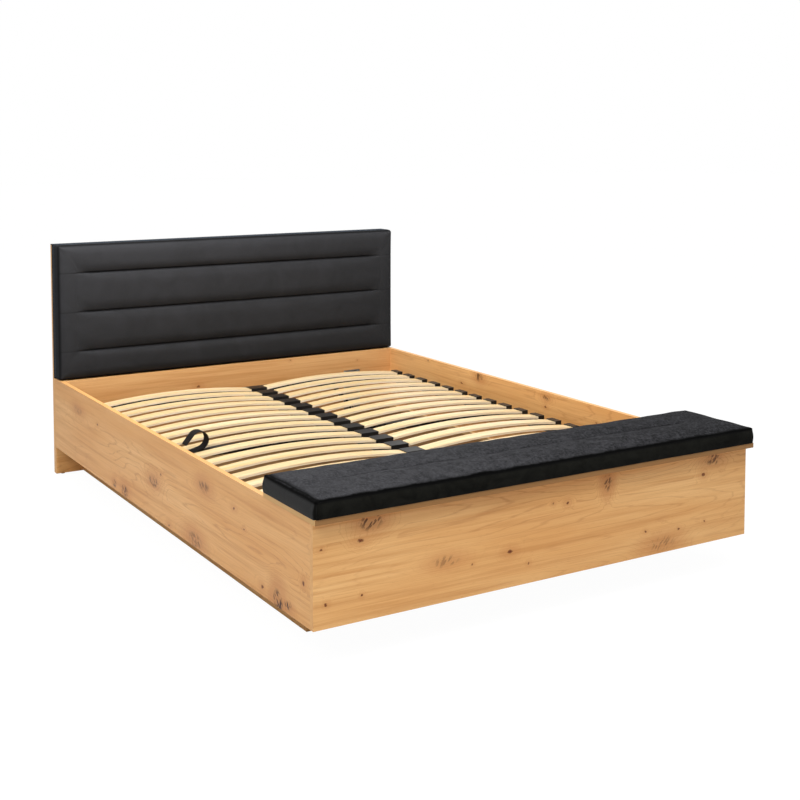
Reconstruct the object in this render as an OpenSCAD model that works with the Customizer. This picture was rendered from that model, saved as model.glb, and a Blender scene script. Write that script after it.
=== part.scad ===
// Storage bed for a 1600 x 2000 mattress: a box of decor panels on a set-back plinth,
// an upholstered headboard, a sprung slatted frame that lifts sideways on two gas springs,
// and an upholstered bench with a lift-up lid over a second box at the foot.
// +Z is up, +X is to the right for someone at the foot, +Y points to the headboard.
// The origin is on the floor, under the middle of the whole outline.

/* [Mattress field] */
// Width of the mattress
mattress_w = 1600; // [1400:50:2000]
// Length of the mattress
mattress_l = 2000; // [1900:50:2200]
// Play between the mattress and each side panel
mattress_side_gap = 5; // [3:1:15]
// Play between the mattress and each end panel
mattress_end_gap = 2; // [1:1:10]

/* [Panels] */
// Thickness of the decor boards
panel_t = 18; // [15:1:25]
// Height of the boards' lower edge above the floor
panel_z = 121; // [100:1:160]
// Height of the side and foot boards
panel_h = 300; // [295:5:360]
// Thickness of the storage floor
floor_t = 12; // [8:1:16]
// Width of the square wooden strips that join the boards
strip_w = 18; // [15:1:22]

/* [Headboard] */
// Height of the headboard above the floor
headboard_h = 1000; // [900:10:1200]
// Thickness of the headboard's board
headboard_t = 32; // [22:1:40]
// Depth of the upholstery in front of that board
pad_depth = 90; // [70:1:120]
// Gap under the upholstery, above the side panels
pad_gap = 3; // [2:1:8]
// Number of sewn channels across the upholstery
channel_count = 3; // [1:1:4]
// Distance between two channels
channel_pitch = 168; // [100:1:180]
// Depth of a sewn channel
channel_depth = 16; // [6:1:24]
// Distance that a channel stops short of each side
channel_margin = 73; // [50:1:120]

/* [Bench] */
// Depth of the bench box, from the foot panel's face to the mattress field
bench_depth = 303; // [260:1:400]
// Thickness of the lid's board
lid_t = 16; // [15:1:25]
// How far the lid stands over the foot panel
lid_front = 27; // [10:1:40]
// How far the lid stands over each side panel
lid_side = 7; // [3:1:15]
// How far the lid stays back from the mattress field
lid_back = 5; // [4:1:12]
// Height of the felt bumpers under the lid
bumper_h = 2; // [1:0.5:4]
// Height of the seat cushion at its piped edge
cushion_h = 47; // [35:1:60]
// Crown of the seat cushion above its edge
cushion_crown = 12; // [5:1:20]

/* [Plinth] */
// Distance from a side panel's face in to the plinth
plinth_side_in = 118; // [80:1:180]
// How far the plinth's front stands ahead of the mattress field
plinth_ahead = 33; // [24:1:100]
// Thickness of the plinth boards
plinth_t = 18; // [15:1:25]
// Height of the glides
glide_h = 5; // [3:1:10]
// Diameter of the glides
glide_d = 16; // [12:1:18]

/* [Lifting frame] */
// Gap between the frame and each side panel
frame_side_gap = 55; // [30:1:80]
// Gap between the frame and each end panel
frame_end_gap = 50; // [44:1:60]
// Depth of the frame's top below the side panels' top
frame_drop = 99; // [85:1:104]
// Side of the square steel tubes
tube = 30; // [25:1:35]
// Wall of the square steel tubes
tube_wall = 1.5; // [1:0.5:3]
// Number of slats in each of the two columns
slat_count = 16; // [12:1:16]
// Distance between two slats
slat_pitch = 109; // [95:1:115]
// Width of a slat
slat_w = 53; // [45:1:55]
// Thickness of a slat
slat_t = 8; // [7:0.5:10]
// Rise of a slat's middle above its ends
slat_bow = 24; // [15:1:30]
// How far a slat reaches into its holder
slat_grip = 20; // [15:1:24]
// Wall of the slat holders
holder_wall = 3; // [2:0.5:4]
// Height of the slats' seat above the tube
holder_floor = 9; // [6:1:12]

/* [Lift] */
// Distance from the frame's right edge to the pivot
pivot_in = 150; // [130:1:170]
// Distance from the pivot to both ends of a gas spring
lever_r = 150; // [145:1:155]
// Angle at the pivot between the two ends of the gas spring, frame down
rest_angle = 80; // [76:1:82]
// Angle to which the frame lifts
frame_open = 55; // [40:1:55]
// Diameter of the gas spring's cylinder
cylinder_d = 20; // [16:1:22]
// Diameter of the gas spring's rod
rod_d = 8; // [6:1:10]
// Diameter of the pivot pins
pivot_d = 12; // [10:1:14]
// Diameter of the studs that carry the gas springs
stud_d = 8; // [6:1:9]
// Radial play of a pin in its bore
pin_play = 0.05; // [0.02:0.01:0.1]

/* [Pull strap] */
// Width of the webbing
strap_w = 44; // [25:1:46]
// Thickness of the webbing
strap_t = 2; // [1.5:0.5:3]
// Radius of the loop
loop_r = 32; // [25:1:34]
// Height of the loop's centre above the frame
loop_rise = 63; // [55:1:70]
// Distance from the frame's left edge in to the loop's centre
loop_in = 88; // [70:1:100]

/* [Hidden] */

// Clearances and colours
soft_gap = 0.3;
run_gap = 0.3;
oak = "#cf9b62";
fabric = "#26272b";
fabric_top = "#3d3e46";
birch = "#ecd3a0";
black_steel = "#1c1c1e";
black_plastic = "#222224";
zinc = "#a9adb0";
board = "#c9b28c";

// Outline of the whole bed
inner_w = mattress_w + 2*mattress_side_gap;
bed_w = inner_w + 2*panel_t;
field_l = mattress_l + 2*mattress_end_gap;
overall_l = lid_front + bench_depth + field_l + pad_depth + headboard_t;
foot_y = lid_front - overall_l/2;
field_y0 = foot_y + bench_depth;
field_y1 = field_y0 + field_l;
field_mid = (field_y0 + field_y1)/2;
board_y = field_y1 + pad_depth;
panel_top = panel_z + panel_h;
floor_top = panel_z + floor_t;

// Bench and its lid
partition_y = field_y0 - panel_t;
lid_z = panel_top + bumper_h;
lid_y0 = foot_y - lid_front;
lid_y1 = field_y0 - lid_back;
lid_w = bed_w + 2*lid_side;
bumper_d = 12;
hinge_leaf_t = 1.5;
hinge_leaf_w = 60;
hinge_leaf_h = 26;
hinge_r = (lid_back + hinge_leaf_t)/2;
hinge_pin_r = 1.5;
hinge_y = lid_y1 + hinge_r;
hinge_z = lid_z + lid_t - hinge_r;
hinge_x = [-bed_w*0.36, 0, bed_w*0.36];
leaf_screw_r = 3;

// Plinth
plinth_x = bed_w/2 - plinth_side_in;
plinth_y = field_y0 - plinth_ahead;

// Lifting frame
rail_top = panel_top - frame_drop;
rail_bottom = rail_top - tube;
frame_x = inner_w/2 - frame_side_gap;
frame_y0 = field_y0 + frame_end_gap;
frame_y1 = field_y1 - frame_end_gap;
holder_play = 0.3;
holder_l = slat_w + 2*holder_wall + 2*holder_play;
holder_outer = frame_x - 6;
slat_out = holder_outer - holder_wall - 1;
end_holder_w = slat_grip + holder_wall + 1;
holder_rib = 12;
slat_in = holder_rib;
centre_holder_w = 2*(slat_in + slat_grip + 5);
slat_chord = slat_out - slat_in;
slat_mid = (slat_out + slat_in)/2;
slat_seat = rail_top + holder_floor;
slat_end_top = slat_seat + slat_t;
slat_r = (slat_chord*slat_chord/4 + slat_bow*slat_bow)/(2*slat_bow);
grip_reach = slat_grip + 5;
grip_rise = slat_bow*(1 - pow(1 - 2*grip_reach/slat_chord, 2));
slot_h = slat_t + grip_rise + 2*holder_play;
holder_h = holder_floor + slot_h - holder_play + holder_wall;
beam_w = 40;

// Lift: pivot, studs and gas springs, measured in from each end panel
plate_t = 3;
arm_t = 5;
spring_in = 18;
eye_t = 8;
eye_r = stud_d/2 + 5;
clip_t = 1.2;
clip_r = stud_d/2 + 3;
collar_r = stud_d/2 + 2.5;
pivot_x = frame_x - pivot_in;
pivot_z = (rail_top + rail_bottom)/2;
stud_s = [pivot_x - lever_r, pivot_z];
stud_b = [pivot_x - lever_r*cos(rest_angle), pivot_z - lever_r*sin(rest_angle)];
spring_l = 2*lever_r*sin(rest_angle/2);
spring_open = 2*lever_r*sin((rest_angle + frame_open)/2);
spring_tilt = atan2(stud_s[1] - stud_b[1], stud_s[0] - stud_b[0]);
stroke = spring_open - spring_l;
cylinder_end = spring_l - eye_r - 14;
cylinder_start = eye_r + 6;
cylinder_wall = 1.5;
guide_l = 10;
piston_l = 8;
rod_tip = cylinder_start + cylinder_wall + 6;
echo(spring_closed = spring_l, spring_open = spring_open, stroke = stroke, rod_tip = rod_tip,
    piston_at_open = rod_tip + stroke + piston_l, guide_at = cylinder_end - guide_l);

// Strap, fixed to the outer face of the left tube, in a gap between two slats
strap_y = field_mid - slat_pitch;
strap_c = [-frame_x + loop_in, rail_top + loop_rise];
strap_foot = [-frame_x - strap_t, rail_top + strap_t + 1];
strap_plate_t = 1.5;

// A box given by two corners
module block(a, b) translate(a) cube(b - a);

// A round bar along +Y from y0 to y1, at x and z
module bar_y(x, z, y0, y1, r) translate([x, y0, z]) rotate([-90, 0, 0]) cylinder(h = y1 - y0, r = r, $fn = 48);

// Padded form: a box of w by l whose top is crowned, with its sides drawn in between the corners
// and sewn channels across it at the heights given in lines
function spread(list) = concat([for (i = [len(list) - 1:-1:1]) -list[i]], list);
function fade(a, b, t) = let (s = min(1, max(0, (t - a)/(b - a)))) s*s*(3 - 2*s);
function channel_sum(v, lines, half, i = 0) = i >= len(lines) ? 0
    : exp(-pow((v - lines[i])/half, 2)) + channel_sum(v, lines, half, i + 1);
function bands(lines) = concat([-1], lines, [1]);
function band_rows(edges, steps) = concat([for (i = [0:len(edges) - 2]) for (t = steps)
    edges[i] + (edges[i + 1] - edges[i])*t], [1]);
module padded_form(w, l, edge_h, crown, draw, lines, groove, groove_half, groove_end) {
    us = spread([0, 0.15, 0.3, 0.45, 0.6, 0.74, 0.84, 0.9, 0.94, 0.97, 0.99, 1]);
    vs = band_rows(bands(lines), [0, 0.04, 0.1, 0.22, 0.5, 0.78, 0.9, 0.96]);
    nu = len(us);
    nv = len(vs);
    function top(u, v) = [
        u*(w/2 - draw*pow(abs(u), 4)*(1 - pow(abs(v), 4))),
        v*(l/2 - draw*pow(abs(v), 4)*(1 - pow(abs(u), 8))),
        edge_h + crown*pow((1 - pow(abs(u), 10))*(1 - pow(abs(v), 6)), 0.6)
            - groove*channel_sum(v, lines, groove_half)*(1 - fade(groove_end - 0.05, groove_end, abs(u)))];
    ring = concat([for (i = [0:nu - 1]) [i, 0]], [for (j = [1:nv - 1]) [nu - 1, j]],
        [for (i = [nu - 2:-1:0]) [i, nv - 1]], [for (j = [nv - 2:-1:1]) [0, j]]);
    n = len(ring);
    base = [for (p = ring) let (t = top(us[p[0]], vs[p[1]])) [t[0]*0.997, t[1]*0.99, 0]];
    middle = [for (p = ring) let (t = top(us[p[0]], vs[p[1]])) [t[0]*0.9995, t[1]*0.999, edge_h*0.5]];
    grid = [for (j = [0:nv - 1]) for (i = [0:nu - 1]) top(us[i], vs[j])];
    g0 = 2*n;
    function rim(k) = g0 + ring[k % n][1]*nu + ring[k % n][0];
    faces = concat(
        [for (j = [0:nv - 2]) for (i = [0:nu - 2]) let (a = g0 + j*nu + i) each
            [[a, a + nu, a + nu + 1], [a, a + nu + 1, a + 1]]],
        [for (k = [0:n - 1]) let (m = (k + 1) % n) each
            [[k, n + k, n + m], [k, n + m, m], [n + k, rim(k), rim(m)], [n + k, rim(m), n + m]]],
        [for (k = [1:n - 2]) [0, k, k + 1]]);
    polyhedron(points = concat(base, middle, grid), faces = faces, convexity = 4);
}

// Headboard: a decor board up to the side panels' top, and on it a covered board with the upholstery.
// Flat plates, sunk in both boards' backs, join the two
back_y = board_y + headboard_t;
plate_sink = 5;
joint_plate = [50, 2.5, 160];
module joint_places() for (x = [-bed_w*0.36, 0, bed_w*0.36]) translate([x, back_y - plate_sink, panel_top])
    children();
module joint_pockets() joint_places()
    block([-joint_plate[0]/2, 0, -joint_plate[2]/2], [joint_plate[0]/2, plate_sink + 1, joint_plate[2]/2]);
module headboard_panel() color(oak) difference() {
    block([-bed_w/2, board_y, glide_h], [bed_w/2, back_y, panel_top]);
    joint_pockets();
}
module pad_board() color(fabric) difference() {
    block([-bed_w/2, board_y, panel_top], [bed_w/2, back_y, headboard_h]);
    joint_pockets();
}
module joining_plates() color(zinc) joint_places()
    block([-joint_plate[0]/2, 0, -joint_plate[2]/2], [joint_plate[0]/2, joint_plate[1], joint_plate[2]/2]);
module joining_screws() color(zinc) joint_places() for (z = [-0.39, -0.14, 0.14, 0.39])
    translate([0, joint_plate[1], z*joint_plate[2]]) rotate([-90, 0, 0]) screw_head(4.5);
pad_z0 = panel_top + pad_gap;
pad_z1 = headboard_h;
pad_crown = 16;
module headboard_pad() {
    half = (pad_z1 - pad_z0)/2;
    lines = [for (i = [0:channel_count - 1]) (i - (channel_count - 1)/2)*channel_pitch/half];
    color(fabric) translate([0, board_y - soft_gap, (pad_z0 + pad_z1)/2]) rotate([90, 0, 0])
        padded_form(bed_w, pad_z1 - pad_z0, pad_depth - soft_gap - pad_crown, pad_crown, 3, lines,
            channel_depth, 9/half, 1 - 2*channel_margin/bed_w);
}
module head_cross_panel() color(oak)
    block([-inner_w/2, field_y1, panel_z], [inner_w/2, field_y1 + panel_t, panel_top]);
module head_strips() color(board) for (s = [-1, 1])
    block([s > 0 ? inner_w/2 - strip_w : -inner_w/2, field_y1 + panel_t, panel_z],
        [s > 0 ? inner_w/2 : -inner_w/2 + strip_w, field_y1 + panel_t + strip_w, panel_top]);

// Side, foot and bench panels
module side_panel(s) color(oak)
    block([s > 0 ? inner_w/2 : -bed_w/2, foot_y + panel_t, panel_z],
        [s > 0 ? bed_w/2 : -inner_w/2, board_y, panel_top]);
module side_panel_left() side_panel(-1);
module side_panel_right() side_panel(1);
module foot_panel() color(oak)
    block([-bed_w/2, foot_y, panel_z], [bed_w/2, foot_y + panel_t, panel_top]);
module bench_partition() color(oak)
    block([-inner_w/2, partition_y, floor_top], [inner_w/2, field_y0, panel_top]);
module partition_strips() color(board) for (s = [-1, 1])
    block([s > 0 ? inner_w/2 - strip_w : -inner_w/2, partition_y - strip_w, floor_top],
        [s > 0 ? inner_w/2 : -inner_w/2 + strip_w, partition_y, panel_top - 20]);

// Storage floor in two boards that meet over the centre plinth
module floor_panel(s) color(board)
    block([s > 0 ? 0 : -inner_w/2, foot_y + panel_t, panel_z], [s > 0 ? inner_w/2 : 0, field_y1, floor_top]);
module floor_panel_left() floor_panel(-1);
module floor_panel_right() floor_panel(1);
module floor_strips() color(board) for (s = [-1, 1])
    block([s > 0 ? inner_w/2 - strip_w : -inner_w/2, field_y0, floor_top],
        [s > 0 ? inner_w/2 : -inner_w/2 + strip_w, field_y1, floor_top + strip_w]);

// Plinth and glides
module plinth_front() color(oak)
    block([-plinth_x, plinth_y, glide_h], [plinth_x, plinth_y + plinth_t, panel_z]);
module plinth_side(x) color(oak)
    block([x, plinth_y + plinth_t, glide_h], [x + plinth_t, board_y, panel_z]);
module plinth_left() plinth_side(-plinth_x);
module plinth_right() plinth_side(plinth_x - plinth_t);
module plinth_centre() plinth_side(-plinth_t/2);
glide_margin = 72;
plinth_run = board_y - plinth_y - plinth_t;
module glides() color(black_plastic) {
    for (x = [-plinth_x + glide_margin, 0, plinth_x - glide_margin])
        translate([x, plinth_y + plinth_t/2, 0]) glide();
    for (k = [0.5, 0.94]) translate([0, plinth_y + plinth_t + k*plinth_run, 0]) glide();
    for (s = [-1, 1]) translate([s*(bed_w/2 - 2*glide_d), board_y + headboard_t/2, 0]) glide();
}
module glide() cylinder(h = glide_h, d = glide_d, $fn = 48);

// Steel corner brackets with two screws in each leg
bracket_leg = 40;
bracket_h = 60;
bracket_t = 2;
bracket_z = floor_top + (panel_top - floor_top)*0.31;
bracket_spots = [[-1, foot_y + panel_t, 1], [1, foot_y + panel_t, 1], [-1, board_y, -1], [1, board_y, -1]];
module corner_brackets() color(zinc) for (b = bracket_spots) translate([b[0]*inner_w/2, b[1], bracket_z])
    turned(-b[0], b[2]) {
        cube([bracket_leg, bracket_t, bracket_h]);
        cube([bracket_t, bracket_leg, bracket_h]);
    }
module turned(sx, sy) mirror([sx < 0 ? 1 : 0, 0, 0]) mirror([0, sy < 0 ? 1 : 0, 0]) children();
module bracket_screws() color(zinc) for (b = bracket_spots) translate([b[0]*inner_w/2, b[1], bracket_z])
    turned(-b[0], b[2]) for (z = [15, bracket_h - 15]) {
        translate([bracket_leg*0.6, bracket_t, z]) rotate([-90, 0, 0]) screw_head(4);
        translate([bracket_t, bracket_leg*0.6, z]) rotate([0, 90, 0]) screw_head(4);
    }

// A screw head that stands on a face, with a cross slot
module screw_head(r) difference() {
    cylinder(h = r*0.45, r = r, $fn = 32);
    for (a = [0, 90]) rotate([0, 0, a]) translate([-r*0.6, -r*0.12, r*0.2]) cube([r*1.2, r*0.24, r]);
}

// Felt bumpers that the lid rests on
module lid_bumpers() color(black_plastic) for (x = [-0.44, -0.15, 0.15, 0.44])
    translate([x*bed_w, foot_y + panel_t/2, panel_top]) cylinder(h = bumper_h, d = bumper_d, $fn = 32);

// Lid hinges: the fixed leaf is on the partition, the other on the lid's back edge, and the pin is on top
hinge_gap = 0.3;
hinge_knuckle = hinge_leaf_w/3;
module knuckle(x, i, r) translate([x - hinge_leaf_w/2 + i*hinge_knuckle + hinge_gap/2, hinge_y, hinge_z])
    rotate([0, 90, 0]) cylinder(h = hinge_knuckle - hinge_gap, r = r, $fn = 48);
module pin_bore(x) translate([x - hinge_leaf_w, hinge_y, hinge_z]) rotate([0, 90, 0])
    cylinder(h = 2*hinge_leaf_w, r = hinge_pin_r + pin_play, $fn = 48);
module hinge_leaves_fixed() color(zinc) for (x = hinge_x) difference() {
    union() {
        knuckle(x, 1, hinge_r - run_gap);
        block([x - hinge_knuckle/2 + hinge_gap/2, field_y0, panel_top - hinge_leaf_h],
            [x + hinge_knuckle/2 - hinge_gap/2, field_y0 + hinge_leaf_t, hinge_z]);
        block([x - hinge_leaf_w/2, field_y0, panel_top - hinge_leaf_h],
            [x + hinge_leaf_w/2, field_y0 + hinge_leaf_t, panel_top]);
    }
    pin_bore(x);
}
module hinge_pins() color(zinc) for (x = hinge_x) translate([x - hinge_leaf_w/2, hinge_y, hinge_z])
    rotate([0, 90, 0]) cylinder(h = hinge_leaf_w, r = hinge_pin_r, $fn = 48);
module hinge_leaves_lid() color(zinc) for (x = hinge_x) difference() {
    union() {
        for (i = [0, 2]) {
            knuckle(x, i, hinge_r);
            block([x - hinge_leaf_w/2 + i*hinge_knuckle + hinge_gap/2, lid_y1, lid_z + 1],
                [x - hinge_leaf_w/2 + (i + 1)*hinge_knuckle - hinge_gap/2, lid_y1 + hinge_leaf_t, hinge_z]);
        }
        block([x - hinge_leaf_w/2, lid_y1, lid_z + 1],
            [x + hinge_leaf_w/2, lid_y1 + hinge_leaf_t, hinge_z - hinge_r - 1]);
    }
    pin_bore(x);
}
module hinge_screws_fixed() color(zinc) for (x = hinge_x) for (s = [-1, 1])
    translate([x + s*hinge_leaf_w*0.32, field_y0 + hinge_leaf_t, panel_top - hinge_leaf_h/2])
        rotate([-90, 0, 0]) screw_head(leaf_screw_r);
module hinge_screws_lid() color(zinc) for (x = hinge_x) for (s = [-1, 1])
    translate([x + s*hinge_leaf_w*0.32, lid_y1 + hinge_leaf_t, lid_z + lid_t/3])
        rotate([-90, 0, 0]) screw_head(leaf_screw_r);

// Lid of the bench box
module seat_board() color(oak)
    block([-lid_w/2, lid_y0, lid_z], [lid_w/2, lid_y1, lid_z + lid_t]);
module seat_cushion() color(fabric_top)
    translate([0, (lid_y0 + lid_y1)/2, lid_z + lid_t])
        padded_form(lid_w, lid_y1 - lid_y0, cushion_h, cushion_crown, 3, [0], cushion_crown*0.6, 0.06, 0.86);

// Square tubes of the lifting frame
module tube_y(x, y0, y1, w) color(black_steel) difference() {
    block([x - w/2, y0, rail_bottom], [x + w/2, y1, rail_top]);
    block([x - w/2 + tube_wall, y0 - 1, rail_bottom + tube_wall],
        [x + w/2 - tube_wall, y1 + 1, rail_top - tube_wall]);
}
module tube_x(x0, x1, y) color(black_steel) difference() {
    block([x0, y - tube/2, rail_bottom], [x1, y + tube/2, rail_top]);
    block([x0 - 1, y - tube/2 + tube_wall, rail_bottom + tube_wall],
        [x1 + 1, y + tube/2 - tube_wall, rail_top - tube_wall]);
}
rail_x = frame_x - tube/2;
module rail_left() tube_y(-rail_x, frame_y0, frame_y1, tube);
module rail_right() tube_y(rail_x, frame_y0, frame_y1, tube);
module rail_head() tube_x(-frame_x + tube, frame_x - tube, frame_y1 - tube/2);
module rail_foot() tube_x(-frame_x + tube, frame_x - tube, frame_y0 + tube/2);
module centre_beam() tube_y(0, frame_y0 + tube, frame_y1 - tube, beam_w);
module cross_tubes() {
    tube_x(-frame_x + tube, -beam_w/2, field_mid);
    tube_x(beam_w/2, frame_x - tube, field_mid);
}
module tube_caps() color(black_plastic) {
    translate([-rail_x, frame_y0, pivot_z]) cap(-1);
    translate([-rail_x, frame_y1, pivot_z]) cap(1);
}
cap_t = 2;
module cap(d) {
    inner = tube - 2*tube_wall;
    translate([-tube/2, d > 0 ? 0 : -cap_t, -tube/2]) cube([tube, cap_t, tube]);
    translate([-inner/2, d > 0 ? -10 : 0, -inner/2]) cube([inner, 10, inner]);
}

// Slats: birch plywood strips, bowed along X
function slat_y(i) = field_mid + (i - (slat_count - 1)/2)*slat_pitch;
module slat(s) translate([s*slat_mid, 0, slat_end_top + slat_bow - slat_r]) rotate([90, 0, 0])
    intersection() {
        difference() {
            cylinder(h = slat_w, r = slat_r, center = true, $fn = 720);
            cylinder(h = slat_w + 2, r = slat_r - slat_t, center = true, $fn = 720);
        }
        translate([-slat_chord/2, slat_r - slat_bow - slat_t - 5, -slat_w])
            cube([slat_chord, slat_bow + slat_t + 20, 2*slat_w]);
    }
module slats(s) color(birch) for (i = [0:slat_count - 1]) translate([0, slat_y(i), 0]) slat(s);
module slats_left() slats(-1);
module slats_right() slats(1);

// Slat holders: a closed cap at each tube, and a double one on the centre beam
slot_w = slat_w + 2*holder_play;
module end_holder(s) mirror([s < 0 ? 1 : 0, 0, 0]) difference() {
    block([holder_outer - end_holder_w - 3, -holder_l/2, rail_top],
        [holder_outer, holder_l/2, rail_top + holder_h]);
    block([holder_outer - end_holder_w - 10, -slot_w/2, slat_seat - holder_play],
        [slat_out + holder_play, slot_w/2, slat_seat - holder_play + slot_h]);
}
module end_holders(s) color(black_plastic)
    for (i = [0:slat_count - 1]) translate([0, slat_y(i), 0]) end_holder(s);
module end_holders_left() end_holders(-1);
module end_holders_right() end_holders(1);
module centre_holder() difference() {
    block([-centre_holder_w/2, -holder_l/2, rail_top], [centre_holder_w/2, holder_l/2, rail_top + holder_h]);
    for (s = [-1, 1]) mirror([s < 0 ? 1 : 0, 0, 0])
        block([slat_in - holder_play, -slot_w/2, slat_seat - holder_play],
            [centre_holder_w, slot_w/2, slat_seat - holder_play + slot_h]);
}
module centre_holders() color(black_plastic)
    for (i = [0:slat_count - 1]) translate([0, slat_y(i), 0]) centre_holder();

// Lift hardware is drawn at the foot end, with y measured from the end panel, and mirrored to the head end
module at_foot() translate([0, field_y0, 0]) children();
module at_head() translate([0, field_y1, 0]) mirror([0, 1, 0]) children();
plate_x0 = min(stud_b[0], pivot_x) - 30;
plate_x1 = pivot_x + 30;
plate_z0 = floor_top + 3;
plate_z1 = rail_top + 14;
plate_rows = [for (k = [0.23, 0.5, 0.95]) plate_z0 + k*(plate_z1 - plate_z0)];
plate_screws = [for (x = [plate_x0 + 9, plate_x1 - 9]) for (z = plate_rows) [x, z]];
plate_screw_r = 2.75;
arm_face = frame_end_gap - arm_t;
module lift_plate() color(zinc) difference() {
    union() {
        block([plate_x0, 0, plate_z0], [plate_x1, plate_t, plate_z1]);
        bar_y(pivot_x, pivot_z, plate_t - 1, arm_face - run_gap, pivot_d/2 + 4);
        bar_y(pivot_x, pivot_z, plate_t - 1, frame_end_gap - run_gap, pivot_d/2);
        bar_y(stud_b[0], stud_b[1], plate_t - 1, spring_in - eye_t/2 - run_gap, collar_r);
        bar_y(stud_b[0], stud_b[1], plate_t - 1, spring_in + eye_t/2 + clip_t + 2, stud_d/2);
    }
    for (p = plate_screws) bar_y(p[0], p[1], -1, plate_t + 1, plate_screw_r);
}
module lift_plate_foot() at_foot() lift_plate();
module lift_plate_head() at_head() lift_plate();
module plate_screw_set() for (p = plate_screws) {
    translate([p[0], plate_t, p[1]]) rotate([-90, 0, 0]) screw_head(4.5);
    bar_y(p[0], p[1], 0, plate_t + 1, plate_screw_r - 0.25);
}
module lift_plate_screws() color(zinc) {
    at_foot() plate_screw_set();
    at_head() plate_screw_set();
}
module clip_ring(x, z, y0) difference() {
    bar_y(x, z, y0, y0 + clip_t, clip_r);
    bar_y(x, z, y0 - 1, y0 + clip_t + 1, stud_d/2);
}
module plate_stud_clips() color(black_steel) {
    at_foot() clip_ring(stud_b[0], stud_b[1], spring_in + eye_t/2 + run_gap);
    at_head() clip_ring(stud_b[0], stud_b[1], spring_in + eye_t/2 + run_gap);
}

// Arm on the outside of an end tube, with the pivot's bore and the upper stud
module lift_arm() color(black_steel) {
    difference() {
        block([stud_s[0] - 16, arm_face, rail_bottom], [frame_x, frame_end_gap, rail_top]);
        bar_y(pivot_x, pivot_z, 0, frame_end_gap + 1, pivot_d/2 + pin_play);
    }
    bar_y(stud_s[0], stud_s[1], spring_in + eye_t/2 + run_gap, arm_face + 1, collar_r);
    bar_y(stud_s[0], stud_s[1], spring_in - eye_t/2 - clip_t - 2, arm_face + 1, stud_d/2);
}
module lift_arm_foot() at_foot() lift_arm();
module lift_arm_head() at_head() lift_arm();
module arm_stud_clips() color(black_steel) {
    at_foot() clip_ring(stud_s[0], stud_s[1], spring_in - eye_t/2 - run_gap - clip_t);
    at_head() clip_ring(stud_s[0], stud_s[1], spring_in - eye_t/2 - run_gap - clip_t);
}

// Gas springs, drawn along +X from the lower stud and then tilted to the upper one
module spring_axis() translate([stud_b[0], spring_in, stud_b[1]]) rotate([0, -spring_tilt, 0]) children();
module bar_x(x0, x1, r) translate([x0, 0, 0]) rotate([0, 90, 0]) cylinder(h = x1 - x0, r = r, $fn = 48);
module eye(x) translate([x, eye_t/2, 0]) rotate([90, 0, 0]) cylinder(h = eye_t, r = eye_r, $fn = 48);
module eye_bore(x) translate([x, eye_t, 0]) rotate([90, 0, 0])
    cylinder(h = 2*eye_t, r = stud_d/2 + pin_play, $fn = 48);
module gas_cylinder() color(black_steel) spring_axis() difference() {
    union() {
        eye(0);
        bar_x(eye_r - 1.5, cylinder_start + 1, 5);
        bar_x(cylinder_start, cylinder_end, cylinder_d/2);
    }
    eye_bore(0);
    bar_x(cylinder_start + cylinder_wall, cylinder_end - guide_l, cylinder_d/2 - cylinder_wall);
    bar_x(cylinder_start + cylinder_wall, cylinder_end + 1, rod_d/2 + run_gap);
}
module gas_rod() color(zinc) spring_axis() difference() {
    union() {
        eye(spring_l);
        bar_x(spring_l - eye_r - 7, spring_l - eye_r + 1.5, 5);
        bar_x(rod_tip, spring_l - eye_r, rod_d/2);
        bar_x(rod_tip, rod_tip + piston_l, cylinder_d/2 - cylinder_wall - run_gap);
    }
    eye_bore(spring_l);
}
module gas_cylinder_foot() at_foot() gas_cylinder();
module gas_rod_foot() at_foot() gas_rod();
module gas_cylinder_head() at_head() gas_cylinder();
module gas_rod_head() at_head() gas_rod();

// Rests on the left panel that carry the lowered frame, each with a rubber pad
rest_w = 60;
rest_t = 3;
rest_pad_t = 4;
rest_top = rail_bottom - run_gap - rest_pad_t;
rest_reach = frame_side_gap + tube;
rest_up = 1.5*tube;
rest_y = [for (k = [-0.3, 0.3]) field_mid + k*field_l];
module frame_rests() color(zinc) for (y = rest_y) {
    block([-inner_w/2, y - rest_w/2, rest_top - rest_t], [-inner_w/2 + rest_reach, y + rest_w/2, rest_top]);
    block([-inner_w/2, y - rest_w/2, rest_top], [-inner_w/2 + rest_t, y + rest_w/2, rest_top + rest_up]);
}
module rest_screws() color(zinc) for (y = rest_y) for (s = [-1, 1])
    translate([-inner_w/2 + rest_t, y + s*rest_w*0.3, rest_top + rest_up*0.7]) rotate([0, 90, 0]) screw_head(4.5);
module rest_pads() color(black_plastic) for (y = rest_y)
    block([-frame_x, y - rest_w/2 + 5, rest_top], [-frame_x + tube, y + rest_w/2 - 5, rest_top + rest_pad_t]);

// Pull strap: webbing folded to a loop whose two ends lie on the left tube's outer face
strap_d = norm(strap_c - strap_foot);
strap_dir = atan2(strap_c[1] - strap_foot[1], strap_c[0] - strap_foot[0]);
strap_tan = asin(loop_r/strap_d);
strap_arc = 180 + 2*strap_tan;
function loop_line(r) = [for (k = [0:24]) let (a = strap_dir - 90 - strap_tan + strap_arc*k/24)
    strap_c + r*[cos(a), sin(a)]];
module pull_strap() color(fabric) translate([0, strap_y + strap_w/2, 0]) rotate([90, 0, 0])
    linear_extrude(strap_w) {
        difference() {
            polygon(concat([strap_foot + [-strap_t/2, 0], strap_foot + [strap_t, 0]],
                loop_line(loop_r + strap_t/2)));
            polygon(concat([strap_foot + [strap_t*0.3, strap_t*3]], loop_line(loop_r - strap_t/2)));
        }
        translate([-frame_x - 2*strap_t, rail_bottom + 3]) square([2*strap_t, strap_foot[1] - rail_bottom - 2]);
    }
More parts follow.
